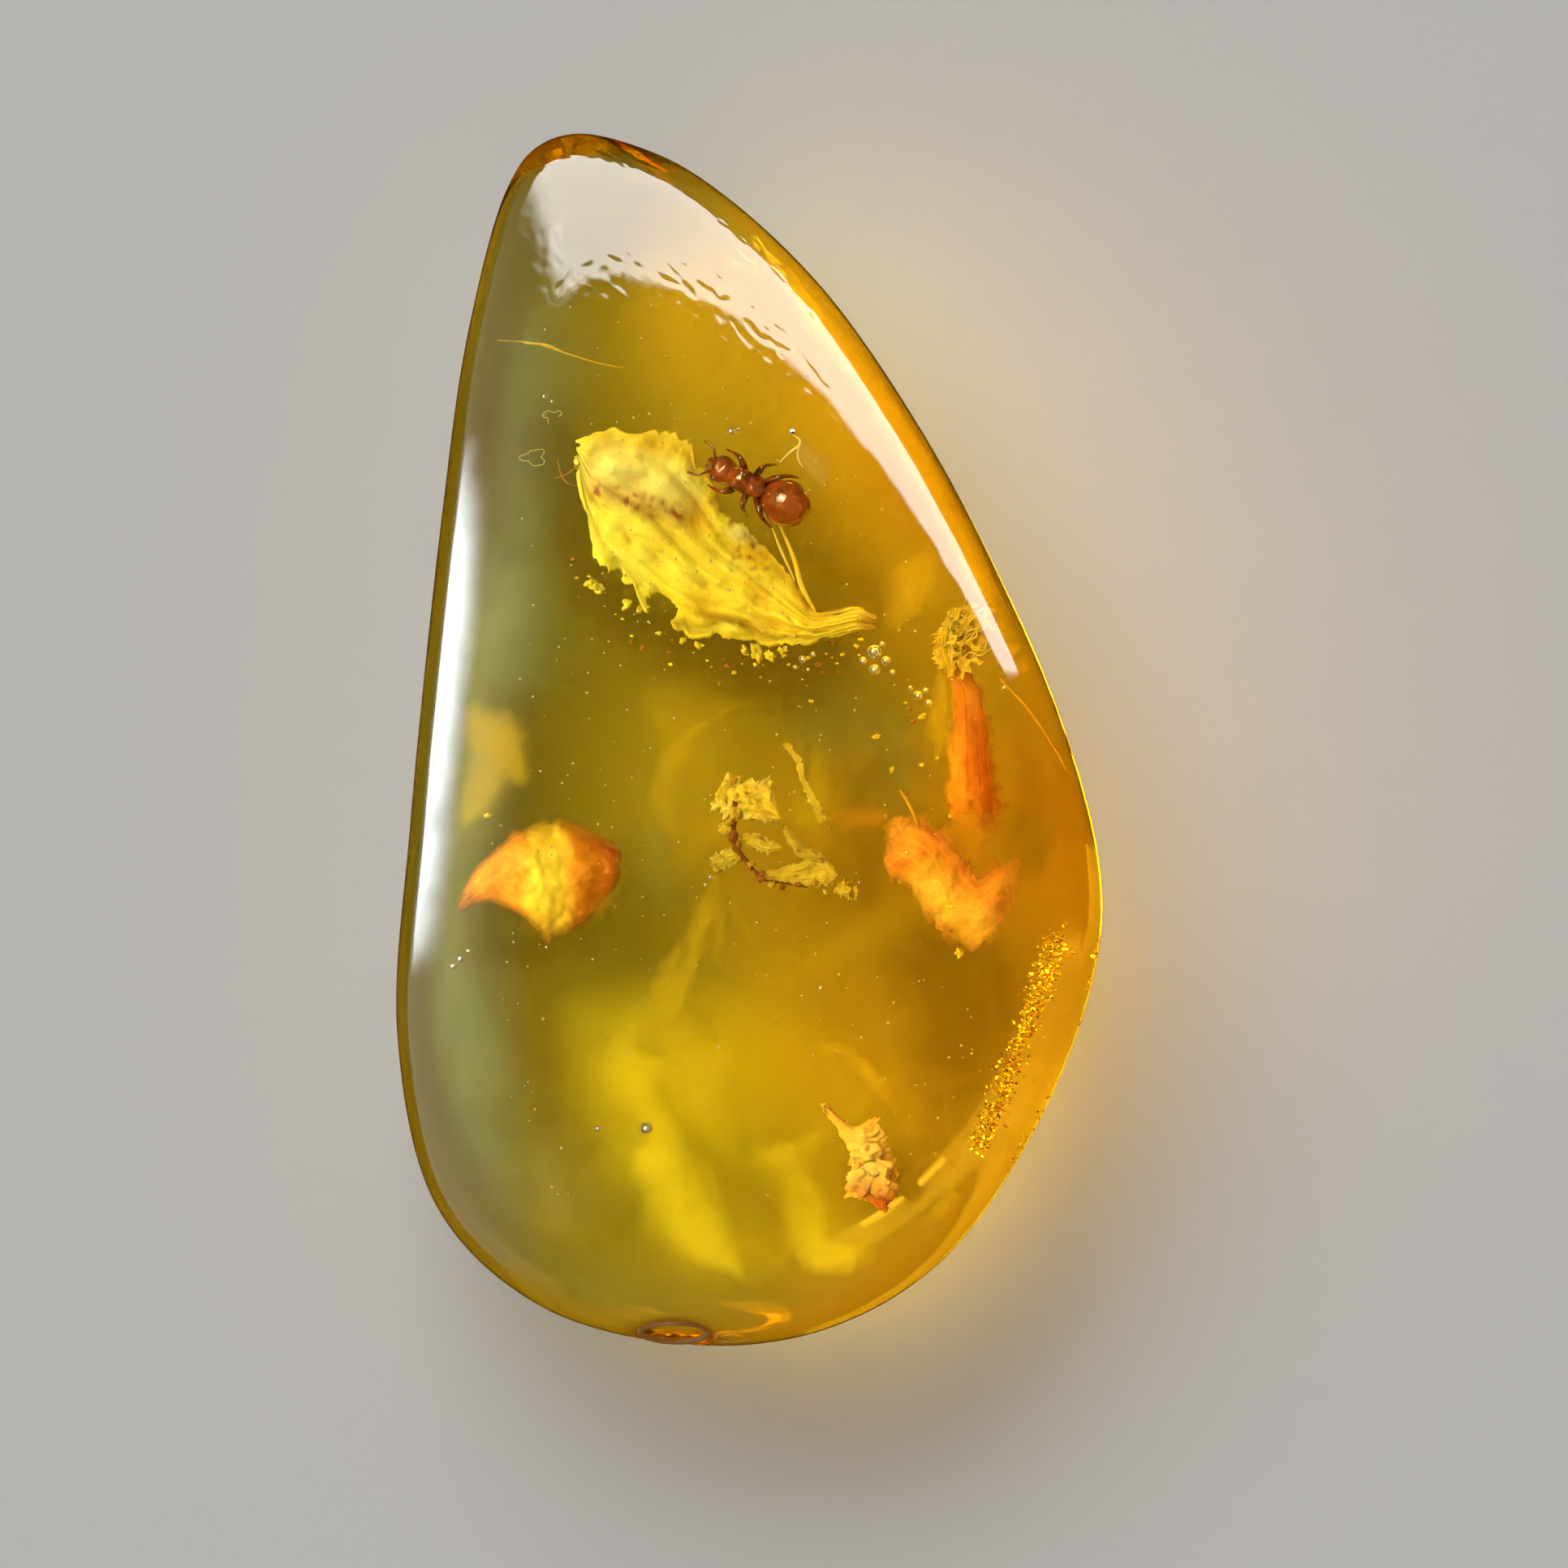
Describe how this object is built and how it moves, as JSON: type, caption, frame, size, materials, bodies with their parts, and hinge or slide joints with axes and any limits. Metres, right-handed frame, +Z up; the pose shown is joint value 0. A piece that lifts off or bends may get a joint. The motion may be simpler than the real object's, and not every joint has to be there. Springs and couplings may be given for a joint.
{
  "type": "polished amber drop",
  "caption": "Clear golden amber polished to a domed drop with a flat back, an ant and scraps of leaf, petal, bark and flower sealed inside; a pocket or display stone.",
  "frame": {"origin": "middle of the footprint, on the flat back", "axes": "+X across the drop, +Y along it towards the narrow tip, +Z up through its thickness to the dome"},
  "size_m": [0.028, 0.048, 0.012],
  "materials": {
    "amber": "clear fossil resin, hand polished to a high gloss with a faint orange-peel",
    "leaf": "dried yellow leaf scrap, matt",
    "ant": "shiny red-brown insect shell",
    "petal": "thin dried orange petal",
    "bark": "fibrous orange bark",
    "floret": "dried yellow bracts on a brown stalk",
    "bud": "lumpy bud scale, cream to orange"
  },
  "bodies": {
    "root": {"amber_front": "amber", "amber_back": "amber", "leaf": "leaf", "ant": "ant", "petal": "petal", "bark_strip": "bark", "bark_chip": "bark", "floret": "floret", "bud_scale": "bud"}
  },
  "joints": []
}
